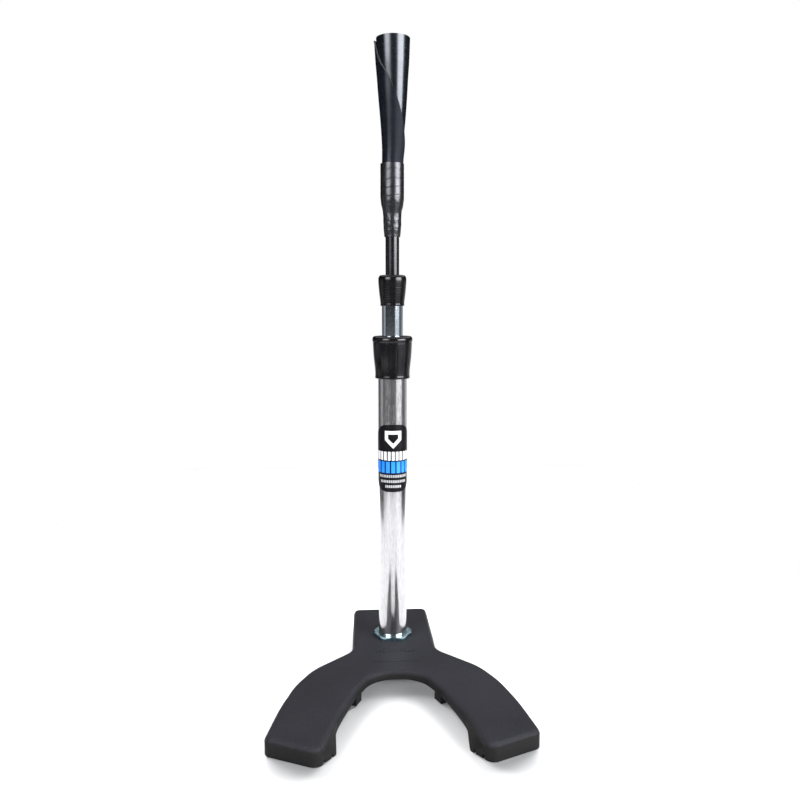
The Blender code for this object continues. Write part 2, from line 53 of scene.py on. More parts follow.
class Nodes:
    """Short hand for building one material's node tree."""

    def __init__(self, name):
        self.material = bpy.data.materials.new(name)
        self.material.use_nodes = True
        self.tree = self.material.node_tree
        self.shader = self.tree.nodes["Principled BSDF"]

    def add(self, kind, **settings):
        node = self.tree.nodes.new(kind)
        for key, value in settings.items():
            setattr(node, key, value)
        return node

    def link(self, source, target):
        self.tree.links.new(source, target)

    def set(self, **values):
        for key, value in values.items():
            socket = self.shader.inputs[key.replace("_", " ")]
            if isinstance(value, (tuple, list)):
                value = (*value, 1.0) if len(value) == 3 else value
            if hasattr(value, "links"):
                self.link(value, socket)
            else:
                socket.default_value = value

    def coords(self, scale=(1, 1, 1)):
        texture = self.add("ShaderNodeTexCoord")
        mapping = self.add("ShaderNodeMapping")
        mapping.inputs["Scale"].default_value = scale
        self.link(texture.outputs["Object"], mapping.inputs["Vector"])
        return mapping.outputs["Vector"]

    def noise(self, scale, detail=4.0, rough=0.55, stretch=(1, 1, 1)):
        node = self.add("ShaderNodeTexNoise")
        node.inputs["Scale"].default_value = scale
        node.inputs["Detail"].default_value = detail
        node.inputs["Roughness"].default_value = rough
        self.link(self.coords(stretch), node.inputs["Vector"])
        return node.outputs["Fac"]

    def ramp(self, source, stops):
        node = self.add("ShaderNodeValToRGB")
        elements = node.color_ramp.elements
        while len(elements) < len(stops):
            elements.new(0.5)
        for element, (place, colour) in zip(elements, stops):
            element.position = place
            if not isinstance(colour, (tuple, list)):
                colour = (colour, colour, colour)
            element.color = (*colour, 1.0)
        self.link(source, node.inputs["Fac"])
        return node.outputs["Color"]

    def remap(self, source, low, high, start=0.0, stop=1.0):
        node = self.add("ShaderNodeMapRange")
        node.inputs["From Min"].default_value = start
        node.inputs["From Max"].default_value = stop
        node.inputs["To Min"].default_value = low
        node.inputs["To Max"].default_value = high
        self.link(source, node.inputs["Value"])
        return node.outputs["Result"]

    def math(self, operation, a, b=0.0):
        node = self.add("ShaderNodeMath", operation=operation)
        for socket, value in zip(node.inputs, (a, b)):
            if hasattr(value, "links"):
                self.link(value, socket)
            else:
                socket.default_value = value
        return node.outputs["Value"]

    def mix(self, factor, a, b):
        node = self.add("ShaderNodeMix", data_type="RGBA")
        colours = [socket for socket in node.inputs if socket.type == "RGBA"]
        self.link(factor, node.inputs["Factor"])
        self.link(a, colours[0])
        self.link(b, colours[1])
        return [socket for socket in node.outputs if socket.type == "RGBA"][0]

    def bump(self, height, strength, distance):
        node = self.add("ShaderNodeBump")
        node.inputs["Strength"].default_value = strength
        node.inputs["Distance"].default_value = distance
        self.link(height, node.inputs["Height"])
        self.link(node.outputs["Normal"], self.shader.inputs["Normal"])

    def axis(self, name):
        split = self.add("ShaderNodeSeparateXYZ")
        self.link(self.coords(), split.inputs["Vector"])
        return split.outputs[name]


# heights between which the painted shade on the side walls of the base blends into its top
WALL_SHADE_HEIGHTS = (0.0135, 0.0185)


def moulded_black():
    """Satin moulded base: fine grain and slow mottling on top; the smoother side walls are darker as
    painted shade.
    """
    n = Nodes("moulded_black")
    fine = n.noise(1500, 2)
    grain = n.noise(620, 3, 0.7)
    slow = n.noise(14, 5)
    tone = n.math("ADD", n.math("MULTIPLY", slow, 0.45), n.math("MULTIPLY", grain, 0.55))
    top_colour = n.ramp(tone, [(0.34, (0.018, 0.018, 0.022)), (0.66, (0.036, 0.036, 0.044))])
    # painted shade: the side walls get a darker colour because less light falls on them than on the
    # top
    painted_shade_wall_colour = n.ramp(tone, [(0.34, (0.007, 0.0066, 0.0066)), (0.66, (0.013, 0.012, 0.012))])
    height = n.remap(n.axis("Z"), 0.0, 1.0, *WALL_SHADE_HEIGHTS)
    n.set(
        Base_Color=n.mix(height, painted_shade_wall_colour, top_colour),
        Roughness=n.remap(slow, 0.52, 0.64, 0.3, 0.7),
    )
    n.bump(fine, 0.16, 0.0004)
    n.shader.inputs["Specular IOR Level"].default_value = 0.10
    return n.material


def brushed(name, low, high, rough, streak_scale, along):
    """Metal with fine streaks, drawn out upwards by 1 / along, and soft blotches in the polish."""
    n = Nodes(name)
    streaks = n.noise(streak_scale, 4, 0.7, (1, 1, along))
    blotch = n.noise(40, 4, 0.6)
    both = n.math("ADD", n.math("MULTIPLY", streaks, 0.6), n.math("MULTIPLY", blotch, 0.4))
    n.set(
        Base_Color=n.ramp(streaks, [(0.35, low), (0.65, high)]),
        Metallic=1.0,
        Roughness=n.remap(both, rough * 0.75, rough * 1.3, 0.35, 0.65),
    )
    n.bump(streaks, 0.06, 0.0003)
    return n.material


COOL = (0.88, 0.92, 1.0)
NEUTRAL = (0.97, 0.95, 1.0)
FADE_ROUGHNESS = 0.34


def rubber(name, low, high, rough, specular, grain=0.08, tint=COOL, stretch=(1, 1, 1), fade=None):
    """Dark rubber, vinyl or coating; fade is the run of X over which the shine goes dull."""
    n = Nodes(name)
    slow = n.noise(60, 4, 0.6, stretch)
    fine = n.noise(900, 3)
    roughness = n.remap(slow, rough * 0.88, rough * 1.14, 0.3, 0.7)
    if fade:
        roughness = n.math("ADD", roughness, n.remap(n.axis("X"), 0.0, FADE_ROUGHNESS, *fade))
    n.set(Base_Color=n.ramp(slow, [(0.3, low), (0.7, high)]), Roughness=roughness)
    n.shader.inputs["Specular IOR Level"].default_value = specular
    n.shader.inputs["Specular Tint"].default_value = (*tint, 1.0)
    n.bump(fine, grain, 0.0003)
    return n.material


def painted(name, low, high, rough):
    n = Nodes(name)
    slow = n.noise(90, 4, 0.6)
    fine = n.noise(1400, 3)
    n.set(
        Base_Color=n.ramp(slow, [(0.3, low), (0.7, high)]),
        Roughness=n.remap(slow, rough * 0.85, rough * 1.2, 0.3, 0.7),
    )
    n.bump(fine, 0.08, 0.0002)
    return n.material


MOULDED = moulded_black()
ALUMINIUM = brushed("clear_aluminium", (0.46, 0.455, 0.47), (0.66, 0.65, 0.665), 0.16, 900, 0.12)
CHROME = brushed("bright_steel", (0.36, 0.41, 0.46), (0.58, 0.64, 0.70), 0.075, 900, 0.3)
ZINC = brushed("zinc_plate", (0.26, 0.42, 0.50), (0.48, 0.64, 0.70), 0.24, 300, 1.0)
STEEL = brushed("plain_steel", (0.30, 0.30, 0.31), (0.42, 0.42, 0.43), 0.40, 400, 1.0)
BLACK_TUBE = rubber(
    "black_tube", (0.004, 0.004, 0.005), (0.006, 0.006, 0.007), 0.20, 0.5, 0.02, NEUTRAL
)
COVER = painted("cover_black", (0.025, 0.025, 0.025), (0.035, 0.035, 0.035), 0.6)
NYLON = painted("white_nylon", (0.70, 0.69, 0.64), (0.80, 0.79, 0.75), 0.5)
COLLAR = rubber(
    "collar_rubber", (0.002, 0.002, 0.0022), (0.005, 0.005, 0.0055), 0.18, 0.38, 0.03, NEUTRAL
)
SHEET = rubber(
    "sheet_rubber", (0.0025, 0.0035, 0.005), (0.0045, 0.0055, 0.008), 0.23, 0.65, 0.05, COOL, (1, 1, 7)
)
FLAP = rubber(
    "sheet_flap", (0.005, 0.006, 0.010), (0.008, 0.009, 0.014), 0.25, 0.20, 0.08, (0.86, 0.91, 1.0),
    (1, 1, 3), (-0.002, 0.006),
)
EDGE = rubber("sheet_edge", (0.035, 0.035, 0.037), (0.06, 0.06, 0.063), 0.55, 0.3)
TAPE = rubber(
    "vinyl_tape", (0.004, 0.004, 0.005), (0.008, 0.008, 0.009), 0.30, 0.75, 0.05, (0.93, 0.93, 1.0)
)
FILM = rubber(
    "label_film", (0.003, 0.003, 0.004), (0.005, 0.005, 0.006), 0.35, 0.12, 0.05, NEUTRAL
)
PRINT_SILVER = painted("label_silver", (0.62, 0.62, 0.63), (0.76, 0.76, 0.77), 0.34)
PRINT_WHITE = painted("label_white", (0.84, 0.84, 0.85), (0.93, 0.93, 0.94), 0.40)
PRINT_BLUE = painted("label_blue", (0.0, 0.20, 0.88), (0.01, 0.26, 0.98), 0.40)
PRINT_GREY = painted("label_grey", (0.38, 0.38, 0.40), (0.50, 0.50, 0.52), 0.40)


# ---------------------------------------------------------------- mesh tools

def finish_mesh(name, points, faces, material, body, stands_for=(), sharp=32, extra=()):
    """Mesh object with outward normals and smooth shading below the sharp angle, attached to its body,
    hiding the CAD parts it stands for.
    """
    mesh = bpy.data.meshes.new(name)
    mesh.from_pydata([tuple(p) for p in points], [], faces)
    work = bmesh.new()
    work.from_mesh(mesh)
    bmesh.ops.recalc_face_normals(work, faces=work.faces)
    work.to_mesh(mesh)
    work.free()
    for item in (material, *extra):
        mesh.materials.append(item)
    mesh.polygons.foreach_set("use_smooth", [True] * len(mesh.polygons))
    if sharp:
        mesh.set_sharp_from_angle(angle=math.radians(sharp))
    obj = bpy.data.objects.new(name, mesh)
    SCENE.collection.objects.link(obj)
    if body:
        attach(obj, body)
    if stands_for:
        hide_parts(*stands_for)
    return obj


def ring_faces(steps, count):
    """Faces of a closed profile of count points, repeated steps times round a full turn."""
    faces = []
    for i in range(steps):
        a = i * count
        b = (i + 1) % steps * count
        for k in range(count):
            n = (k + 1) % count
            faces.append((a + k, b + k, b + n, a + n))
    return faces


def revolve(name, profile, material, body, stands_for, steps=128, shape=None, sharp=32):
    """Closed (radius, z) profile in metres turned about the post; shape may move each point."""
    points = []
    for i in range(steps):
        angle = 2 * math.pi * i / steps
        for radius, height in profile:
            if shape:
                radius, height = shape(radius, height, angle)
            points.append((radius * math.sin(angle), POST_Y - radius * math.cos(angle), height))
    faces = ring_faces(steps, len(profile))
    return finish_mesh(name, points, faces, material, body, stands_for, sharp)


def soften(profile, radius, parts=4, only=None):
    """Round the corners of a closed profile; only lists the corners to round."""
    out = []
    count = len(profile)
    for i, corner in enumerate(profile):
        if only is not None and i not in only:
            out.append(corner)
            continue
        here = Vector(corner)
        back = Vector(profile[i - 1]) - here
        ahead = Vector(profile[(i + 1) % count]) - here
        reach = min(radius, back.length * 0.45, ahead.length * 0.45)
        a = here + back.normalized() * reach
        b = here + ahead.normalized() * reach
        for k in range(parts + 1):
            t = k / parts
            p = a.lerp(here, t).lerp(here.lerp(b, t), t)
            out.append((p.x, p.y))
    return out


# ---------------------------------------------------------------- claw base

# right half of the outline from the tail to the throat: x, y from the post and corner radius, mm
CLAW = [
    (48.7, 86.7, 8.0),
    (50.4, -44.1, 32.0),
    (96.7, -92.1, 80.0),
    (113.9, -129.2, 150.0),
    (126.1, -177.6, 400.0),
    (135.6, -237.4, 9.0),
    (79.9, -263.9, 9.0),
    (74.2, -241.0, 50.0),
    (65.8, -203.4, 110.0),
    (47.0, -146.2, 100.0),
    (26.8, -102.4, 38.0),
]


def claw_corners(inset):
    """Corners of the whole claw outline moved inwards by inset mm, with their radii adjusted."""
    corners = CLAW + [(-x, y, r) for x, y, r in reversed(CLAW)]
    count = len(corners)
    moved = []
    for i in range(count):
        here = Vector(corners[i][:2])
        back = (here - Vector(corners[i - 1][:2])).normalized()
        ahead = (Vector(corners[(i + 1) % count][:2]) - here).normalized()
        inward = Vector((back.y, -back.x))
        inward_next = Vector((ahead.y, -ahead.x))
        bisector = (inward + inward_next).normalized()
        turn = back.x * ahead.y - back.y * ahead.x
        radius = corners[i][2] + (inset if turn > 0 else -inset)
        point = here + bisector * (inset / bisector.dot(inward))
        moved.append((point.x, point.y, max(radius, 1.0)))
    return moved


def outline(inset, step=2.5):
    """Claw outline in metres in the shared frame, with its arcs in steps of about step degrees."""
    corners = claw_corners(inset)
    points = []
    count = len(corners)
    for i in range(count):
        here = Vector(corners[i][:2])
        back = (Vector(corners[i - 1][:2]) - here).normalized()
        ahead = (Vector(corners[(i + 1) % count][:2]) - here).normalized()
        half = math.acos(max(-1.0, min(1.0, back.dot(ahead)))) / 2
        radius = corners[i][2]
        reach = radius / math.tan(half)
        centre = here + (back + ahead).normalized() * (radius / math.sin(half))
        start = here + back * reach - centre
        end = here + ahead * reach - centre
        sweep = math.pi - 2 * half
        side = 1.0 if start.x * end.y > start.y * end.x else -1.0
        parts = 3 + int((math.degrees(sweep) + 1) // step)
        for k in range(parts + 1):
            spoke = Matrix.Rotation(side * sweep * k / parts, 2) @ start
            point = (centre + spoke) * MM
            points.append(Vector((point.x, point.y + POST_Y)))
    return points


def loft(name, levels):
    """Closed solid through the claw outline at each (height, inset) level."""
    points = []
    faces = []
    for height, inset in levels:
        ring = outline(inset)
        size = len(ring)
        points += [(p.x, p.y, height) for p in ring]
    for level in range(len(levels) - 1):
        a = level * size
        for i in range(size):
            j = (i + 1) % size
            faces.append((a + i, a + j, a + size + j, a + size + i))
    faces.append(tuple(range(size)))
    faces.append(tuple(range((len(levels) - 1) * size, len(levels) * size)))
    return finish_mesh(name, points, faces, MOULDED, None)


def cylinder_mesh(name, x, y, radius, low, high, steps=96):
    points = []
    for height in (low, high):
        for i in range(steps):
            angle = 2 * math.pi * i / steps
            points.append((x + radius * math.cos(angle), y + radius * math.sin(angle), height))
    faces = [tuple(range(steps)), tuple(range(steps, 2 * steps))]
    faces += [(i, (i + 1) % steps, (i + 1) % steps + steps, i + steps) for i in range(steps)]
    return finish_mesh(name, points, faces, MOULDED, None)


BOX_FACES = [(0, 1, 3, 2), (4, 5, 7, 6), (0, 1, 5, 4), (2, 3, 7, 6), (0, 2, 6, 4), (1, 3, 7, 5)]


def box_mesh(name, low, high, turn=0.0, at=(0, 0)):
    spin = Matrix.Rotation(turn, 2)
    moved = []
    for z in (low[2], high[2]):
        for y in (low[1], high[1]):
            for x in (low[0], high[0]):
                p = spin @ Vector((x, y))
                moved.append((p.x + at[0], p.y + at[1], z))
    return finish_mesh(name, moved, BOX_FACES, MOULDED, None)


def cut(obj, others, operation="DIFFERENCE"):
    """Apply EXACT Booleans of the others to obj and remove them."""
    for other in others:
        step = obj.modifiers.new("cut", "BOOLEAN")
        step.operation = operation
        step.solver = "EXACT"
        step.object = other
    graph = bpy.context.evaluated_depsgraph_get()
    mesh = bpy.data.meshes.new_from_object(obj.evaluated_get(graph))
    obj.modifiers.clear()
    old = obj.data
    obj.data = mesh
    bpy.data.meshes.remove(old)
    for other in others:
        bpy.data.objects.remove(other)


# places in mm from the post: the feet under the tail, by the throat and the toes, and tread slots
TAIL_FEET = [(27.0, 60.0), (-27.0, 60.0)]
THROAT_FOOT = (48.6, -136.4)
TOE_GROUND = [
    (67.0, -203.0), (66.6, -222.0), (65.55, -234.0), (65.4, -236.8), (65.55, -238.4), (66.0, -239.6),
    (66.7, -240.9), (67.6, -242.0), (79.5, -256.5), (88.0, -206.0), (90.0, -254.0),
]
TOE_LEDGE = [(66.8, -206.0), (74.7, -241.0), (79.1, -258.0), (88.0, -206.0), (90.0, -254.0)]
TREAD_CUTS = [(70.2, -242.8), (76.7, -252.8)]
TREAD_TURN = 38.3
TREAD_HALF_WIDTH = 1.1 * MM
TREAD_IN = 4.0
TREAD_OUT = 12.0
TREAD_DEEP = 0.004
THROAT_TURN = 26.7
THROAT_DEEP = 6.0 * MM
THROAT_LONG = 6.9 * MM
FOOT_RADIUS = 12.0
TOE_BACK = -228.0
UNDERSIDE_BACK = 120.0
UNDERSIDE_TOE = -226.0
UNDERSIDE_RUN = 61.0
UNDERSIDE_STEPS = 32
BELOW = 0.003
REACH = 0.2
HUB_HOLE = 20.8 * MM
WALL_OUT = 0.5
WALL = 5.0
EDGE_ROUND = 4.6
ROOF = 3.0 * MM


def throat_foot(name, side, margin, low, high):
    deep = THROAT_DEEP + margin
    long = THROAT_LONG + margin
    return box_mesh(
        name,
        (min(side * deep, -side * (deep + 2 * MM)), -long, low),
        (max(side * deep, -side * (deep + 2 * MM)), long, high),
        math.radians(side * THROAT_TURN),
        (side * THROAT_FOOT[0] * MM, POST_Y + THROAT_FOOT[1] * MM),
    )


def foot_posts(margin, low, high, tag):
    """Blocks of solid material that stay standing in the hollow underside."""
    made = [
        cylinder_mesh(f"{tag}{k}", x * MM, POST_Y + y * MM, (FOOT_RADIUS + margin) * MM, low, high)
        for k, (x, y) in enumerate(TAIL_FEET)
    ]
    made += [throat_foot(f"{tag}throat{side}", side, margin * MM, low, high) for side in (-1, 1)]
    toe_line = POST_Y + (TOE_BACK + margin) * MM
    front = box_mesh(f"{tag}front", (-REACH, POST_Y - 0.3, low), (REACH, toe_line, high))
    return [*made, front]


def toe_hull(side, height):
    """Toe block: the hull between its outline on the ground and the ledge under the top."""
    points = [(side * x * MM, POST_Y + y * MM, 0.0) for x, y in TOE_GROUND]
    points += [(side * x * MM, POST_Y + y * MM, height) for x, y in TOE_LEDGE]
    mesh = bpy.data.meshes.new("toe")
    mesh.from_pydata(points, [], [])
    work = bmesh.new()
    work.from_mesh(mesh)
    made = bmesh.ops.convex_hull(work, input=work.verts)
    spare = [item for item in made["geom_interior"] if isinstance(item, bmesh.types.BMVert)]
    bmesh.ops.delete(work, geom=spare, context="VERTS")
    bmesh.ops.recalc_face_normals(work, faces=work.faces)
    work.to_mesh(mesh)
    work.free()
    obj = bpy.data.objects.new("toe", mesh)
    SCENE.collection.objects.link(obj)
    return obj


def underside_cutter(under):
    """Space under the raised base, curving down to the ground at the toes."""
    line = [(UNDERSIDE_BACK, -2.0), (UNDERSIDE_BACK, under / MM)]
    for k in range(UNDERSIDE_STEPS + 1):
        share = 1.0 - k / UNDERSIDE_STEPS
        line.append((UNDERSIDE_TOE + UNDERSIDE_RUN * share, under / MM * (1 - (1 - share) ** 2)))
    line.append((UNDERSIDE_TOE - 1.0, -2.0))
    count = len(line)
    points = [(x, POST_Y + y * MM, z * MM) for x in (-REACH, REACH) for y, z in line]
    faces = [(i, (i + 1) % count, (i + 1) % count + count, i + count) for i in range(count)]
    faces += [tuple(range(count)), tuple(range(count, 2 * count))]
    return finish_mesh("underside", points, faces, MOULDED, None)


def sunk_marks(top):
    """A thin moulded line and two rows of plain dashes sunk into the top between post and throat."""
    marks = [(-27.0, 28.5, -78.2, 0.6, 1.1)]
    for k in range(11):
        left = -23.5 + 4.4 * k
        marks.append((left, left + 2.7, -51.5 + (-0.9, 0.9, 0.2)[k % 3], 1.0, 1.3))
    for k in range(7):
        left = -14.5 + 4.1 * k
        marks.append((left, left + 2.4, -45.6 + (0.8, -0.7, 0.1)[k % 3], 0.9, 1.3))
    points = []
    faces = []
    for left, right, middle, half, deep in marks:
        first = len(points)
        for z in (top - deep * MM, top + MM):
            for y in (middle - half, middle + half):
                for x in (left, right):
                    points.append((x * MM, POST_Y + y * MM, z))
        faces += [tuple(first + corner for corner in face) for face in BOX_FACES]
    return finish_mesh("marks", points, faces, MOULDED, None)


def build_base():
    """Lofted claw with toe blocks, hollowed from below but for its feet, with its sunk marks."""
    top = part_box("base_jacket")[1].z
    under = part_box("bottom_cover")[0].z
    edge = EDGE_ROUND * MM
    wall = top - edge
    levels = [(0.0, 0.0), (0.5 * MM, -WALL_OUT), (wall - 0.35 * MM, -WALL_OUT)]
    levels += [(wall - 0.1 * MM, -0.42), (wall, -0.1), (wall + 0.1 * MM, 0.0)]
    for degrees in range(10, 91, 8):
        a = math.radians(degrees)
        levels.append((wall + edge * math.sin(a), EDGE_ROUND * (1 - math.cos(a))))
    levels.append((top, EDGE_ROUND + 1.0))
    jacket = loft("base_jacket_moulding", levels)
    cut(jacket, [toe_hull(side, wall - 0.6 * MM) for side in (-1, 1)], "UNION")
    underside = underside_cutter(under)
    cut(underside, foot_posts(0.0, -0.005, under + 0.005, "f"))
    floor = top - ROOF
    cavity = loft("cavity", [(-BELOW, WALL), (floor, WALL)])
    cut(cavity, foot_posts(2.0, -0.008, floor + 0.005, "c"))
    slots = []
    for side in (-1, 1):
        for x, y in TREAD_CUTS:
            slots.append(
                box_mesh(
                    f"slot{side}{x}",
                    (min(-side * TREAD_IN, side * TREAD_OUT) * MM, -TREAD_HALF_WIDTH, -BELOW),
                    (max(-side * TREAD_IN, side * TREAD_OUT) * MM, TREAD_HALF_WIDTH, TREAD_DEEP),
                    math.radians(side * TREAD_TURN),
                    (side * x * MM, POST_Y + y * MM),
                )
            )
    hub = cylinder_mesh("hubcut", 0.0, POST_Y, HUB_HOLE, 0.0, 0.03)
    cut(jacket, [underside, cavity, hub, *slots, sunk_marks(top)])
    jacket.data.polygons.foreach_set("use_smooth", [True] * len(jacket.data.polygons))
    jacket.data.set_sharp_from_angle(angle=math.radians(30))
    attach(jacket, "base")
    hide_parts("base_jacket")


NUT_CORNER = 24.8 * MM
NUT_FLAT = 22.5 * MM
NUT_SLOPE = 0.42
NUT_STEPS = 180
NUT_EASE = 0.05 * MM


def build_nut():
    """Chamfered hexagon nut with a bevelled mouth, from a fine polar grid."""
    low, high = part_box("lock_nut")
    corner = NUT_CORNER
    flat = NUT_FLAT
    bore = POST_RADIUS + 0.3 * MM
    # radius, height, whether the hexagon limits the radius
    rows = [
        (bore + 0.4 * MM, high.z, 0),
        (flat - 0.6 * MM, high.z, 0),
        (flat + 0.2 * MM, high.z - NUT_EASE, 0),
        (flat + 1.0 * MM, high.z - 0.4 * MM, 1),
        (corner, high.z - 1.3 * MM, 1),
        (corner, low.z + 0.3 * MM, 1),
        (corner - 0.3 * MM, low.z, 1),
        (bore, low.z, 0),
        (bore, high.z - 0.4 * MM, 0),
    ]
    points = []
    for i in range(NUT_STEPS):
        angle = 2 * math.pi * i / NUT_STEPS
        within = (math.degrees(angle) + 30) % 60 - 30
        limit = flat / math.cos(math.radians(30 - abs(within)))
        for radius, height, hexed in rows:
            r = min(radius, limit) if hexed else radius
            z = height
            if hexed and radius > limit and height > low.z + MM:
                z = min(high.z - NUT_EASE - (r - flat) * NUT_SLOPE, height + (radius - r) * NUT_SLOPE)
            points.append((r * math.cos(angle), POST_Y + r * math.sin(angle), z))
    faces = ring_faces(NUT_STEPS, len(rows))
    finish_mesh("lock_nut_body", points, faces, ZINC, "base", ["lock_nut"], 20)


# ---------------------------------------------------------------- post

TUBE_WALLS = {"lower_tube": 1.61 * MM, "middle_tube": 1.5 * MM, "upper_tube": 1.6 * MM}
TUBE_LIP = 0.35 * MM


def build_tube(node, name, material, body):
    """Drawn tube with rounded rims; a ring near each rim keeps the shading of the wall straight."""
    low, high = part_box(node)
    outer = (high.x - low.x) / 2
    inner = outer - TUBE_WALLS[node]
    hold = 3 * TUBE_LIP
    profile = [(outer, high.z), (outer, high.z - hold), (outer, low.z + hold), (outer, low.z)]
    profile += [(inner, low.z), (inner, low.z + hold), (inner, high.z - hold), (inner, high.z)]
    revolve(name, soften(profile, TUBE_LIP, 3, (0, 3, 4, 7)), material, body, [node], 144)


def bend(profile, spacing):
    """Catmull-Rom through an open run of (radius, z) points, about one point per spacing."""
    out = []
    count = len(profile)
    for i in range(count - 1):
        p0 = Vector(profile[max(i - 1, 0)])
        p1 = Vector(profile[i])
        p2 = Vector(profile[i + 1])
        p3 = Vector(profile[min(i + 2, count - 1)])
        parts = max(1, int((p2 - p1).length / spacing))
        for k in range(parts):
            t = k / parts
            a = 2 * p1 + (p2 - p0) * t + (2 * p0 - 5 * p1 + 4 * p2 - p3) * t * t
            b = (3 * p1 - p0 - 3 * p2 + p3) * t**3
            out.append(tuple((a + b) / 2))
    out.append(profile[-1])
    return out


FLUTES = 32
FLUTE_DEEP = 0.16 * MM
RIB_HEIGHT = 0.05 * MM
RIB_PACE = 2.1


def build_collars():
    """Rubber caps on the two tube mouths; runs are in mm of radius and of height from top or foot."""
    low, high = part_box("lower_collar")
    top, foot = high.z, low.z
    cap = [(13.2, 0.0), (20.3, -0.02), (22.3, -0.4), (23.5, -1.4), (24.2, -3.1), (24.35, -4.9)]
    cap += [(24.0, -6.6)]
    cap = [(r * MM, top + z * MM) for r, z in cap]
    body = [(23.5, top - 7.3 * MM), (23.7, top - 8.4 * MM), (22.9, top - 24.0 * MM)]
    body += [(21.35, foot + 13.0 * MM), (20.9, foot + 6.0 * MM), (20.9, foot + 3.3 * MM)]
    body = [(r * MM, z) for r, z in body]
    lip = [(21.02, 2.6), (21.06, 2.1), (21.06, 0.7), (20.9, 0.15), (20.6, 0.0), (17.8, 0.0)]
    lip = [(r * MM, foot + z * MM) for r, z in lip]
    inside = [(17.8 * MM, top - 4.2 * MM), (13.2 * MM, top - 4.2 * MM)]
    profile = bend(cap, 0.5 * MM) + bend(body, 1.2 * MM) + lip + inside

    def flutes(radius, height, angle):
        share = (top - 8.0 * MM - height) / (top - 12.0 * MM - foot)
        if radius > 20.85 * MM and 0.0 < share < 0.93:
            wave = 0.5 + 0.5 * math.cos(FLUTES * angle)
            radius -= FLUTE_DEEP * wave * math.sin(math.pi * share) ** 0.5
        return radius, height

    revolve(
        "lower_collar_cap", profile, COLLAR, "base", ["lower_collar"], 320, flutes, 50
    )

    low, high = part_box("upper_collar")
    top, foot = high.z, low.z
    cap = [(8.65, 0.0), (12.3, -0.02), (14.5, -0.45), (15.85, -1.6), (16.65, -3.6), (16.85, -6.8)]
    cap += [(16.6, -12.0), (15.7, -22.0), (14.7, -30.0), (14.3, -34.0)]
    cap = [(r * MM, top + z * MM) for r, z in cap]
    lip = [(14.34, 2.5), (14.38, 2.1), (14.38, 0.7), (14.25, 0.2), (13.9, 0.0), (13.0, 0.0)]
    lip = [(r * MM, foot + z * MM) for r, z in lip]
    inside = [(13.0 * MM, top - 4.2 * MM), (8.65 * MM, top - 4.2 * MM)]
    profile = bend(cap, 0.5 * MM) + lip + inside

    def ribs(radius, height, angle):
        down = top - height
        if 13 * MM < down < 31 * MM and radius > 14 * MM:
            radius += RIB_HEIGHT * math.sin(down / MM * RIB_PACE)
        return radius, height

    revolve(
        "upper_collar_cap", profile, COLLAR, "middle", ["upper_collar"], 200, ribs, 50
    )


LABEL_INNER = POST_RADIUS + 0.15 * MM
LABEL_RADIUS = POST_RADIUS + 0.35 * MM
LABEL_EDGE = math.radians(97.0)
LABEL_CORNER = 24.0 * MM
LABEL_STEPS = 240
INSIDE = 1e-4
PRINT_LIFT = 0.03 * MM
FIELD_LIFT = 0.06 * MM
PRINT_STEP = 1.5
FIELD_STEPS = 12


def on_label(across, height, lift=PRINT_LIFT):
    """Point on the label: across is the distance in mm round the tube from the front line."""
    angle = across * MM / LABEL_RADIUS
    radius = LABEL_RADIUS + lift
    return (radius * math.sin(angle), POST_Y - radius * math.cos(angle), height)


def span_at(shape, x):
    """Lowest and highest point of a closed outline at x."""
    crossings = []
    for (x0, z0), (x1, z1) in zip(shape, shape[1:] + shape[:1]):
        if min(x0, x1) <= x <= max(x0, x1) and x0 != x1:
            crossings.append(z0 + (z1 - z0) * (x - x0) / (x1 - x0))
    return min(crossings), max(crossings)


def print_shapes(name, shapes, material):
    """Thin prints on the label from closed outlines in (across mm, height m), as one mesh."""
    points = []
    faces = []
    for shape in shapes:
        left = min(p[0] for p in shape)
        right = max(p[0] for p in shape)
        parts = max(1, int((right - left) / PRINT_STEP))
        first = len(points)
        for k in range(parts + 1):
            x = left + (right - left) * k / parts
            x = min(max(x, left + INSIDE), right - INSIDE)
            for z in span_at(shape, x):
                points += [on_label(x, z, 0.0), on_label(x, z)]
        for k in range(parts):
            a = first + 4 * k
            b = a + 4
            faces += [(a + 1, b + 1, b + 3, a + 3), (a, a + 2, b + 2, b)]
            faces += [(a, b, b + 1, a + 1), (a + 2, a + 3, b + 3, b + 2)]
        last = first + 4 * parts
        faces += [(first, first + 1, first + 3, first + 2), (last, last + 2, last + 3, last + 1)]
    finish_mesh(name, points, faces, material, "base", (), 40)


def plate_field(shape):
    """Dark inner field of the plate mark, on top of the light one."""
    left = min(p[0] for p in shape)
    right = max(p[0] for p in shape)
    points = []
    for k in range(FIELD_STEPS + 1):
        x = left + INSIDE + (right - left - 2 * INSIDE) * k / FIELD_STEPS
        points += [on_label(x, z, FIELD_LIFT) for z in span_at(shape, x)]
    faces = [(2 * k, 2 * k + 2, 2 * k + 3, 2 * k + 1) for k in range(FIELD_STEPS)]
    finish_mesh("label_plate_field", points, faces, FILM, "base", (), 40)


